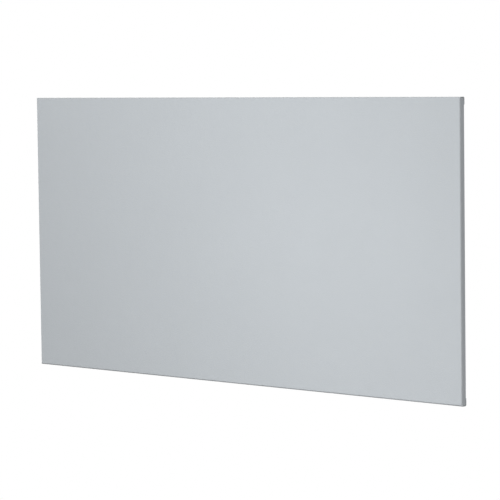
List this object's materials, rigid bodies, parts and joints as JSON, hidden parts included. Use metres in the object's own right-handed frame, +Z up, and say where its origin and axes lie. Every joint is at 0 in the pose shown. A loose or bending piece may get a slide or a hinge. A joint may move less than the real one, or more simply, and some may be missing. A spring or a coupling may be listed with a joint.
{
  "type": "infrared panel heater",
  "caption": "Flat wall-hung infrared panel heater: a folded steel tray over a foil heating element, with hat rails, hooked wall brackets and a rear connection box with a rocker switch.",
  "frame": {"origin": "on the wall, in the middle of the rectangle of wall-screw slots in the two brackets", "axes": "+X along the panel's width, to the right for someone facing the warm front; +Y into the wall, so the warm front faces -Y; +Z up"},
  "size_m": [1.2, 0.0445, 0.6],
  "materials": {
    "front_panel": "satin light grey powder coat",
    "rear_cover": "spangled galvanised sheet",
    "rails": "galvanised sheet",
    "brackets": "galvanised sheet",
    "fixings": "zinc plated",
    "rivets": "plain",
    "rubber": "matt black",
    "box": "fine moulded grain",
    "terminal_block": "glazed off-white",
    "gland": "moulded polyamide",
    "switch": "polished black",
    "brass": "tinned brass",
    "film": "amber film",
    "element": "etched alloy foil",
    "reflector": "bright foil",
    "board": "pressed mineral fibre",
    "cutout": "plain can",
    "lead_brown": "silicone sleeve",
    "lead_blue": "silicone sleeve",
    "lead_green": "green with yellow stripe"
  },
  "bodies": {
    "wall_brackets": {"wall_bracket_left": "brackets", "wall_bracket_right": "brackets"},
    "panel": {"front_panel": "front_panel", "front_insulation_film": "film", "heating_element": "element", "element_terminals": "brass", "rear_insulation_film": "film", "reflector_foil": "reflector", "insulation_board": "board", "thermal_cutout": "cutout", "rear_cover": "rear_cover", "cover_screws": "fixings", "hanger_rail_left": "rails", "hanger_rail_right": "rails", "rail_rivets": "rivets", "wall_buffers": "rubber", "connection_box": "box", "box_gasket": "rubber", "box_lid": "box", "lid_screws": "fixings", "box_rivets": "rivets", "cable_grommet": "rubber", "terminal_block": "terminal_block", "terminal_screws": "fixings", "block_screws": "fixings", "earth_stud": "fixings", "earth_ring": "brass", "earth_nut": "fixings", "gland_body": "gland", "gland_washer": "rubber", "gland_seal": "rubber", "gland_nut": "gland", "gland_locknut": "gland", "switch_housing": "switch", "switch_tabs": "brass", "lead_live": "lead_brown", "lead_switched": "lead_brown", "lead_neutral": "lead_blue", "lead_earth": "lead_green"},
    "rocker": {"switch_rocker": "switch"}
  },
  "joints": [
    {"name": "panel_lift", "type": "slide", "parent": "wall_brackets", "child": "panel", "axis": [0, 0, 1], "range_m": [0, 0.014]},
    {"name": "switch_rock", "type": "hinge", "parent": "panel", "child": "rocker", "pos_m": [0.03, -0.0185, -0.239], "axis": [0, 1, 0], "range_deg": [0, 22]}
  ]
}
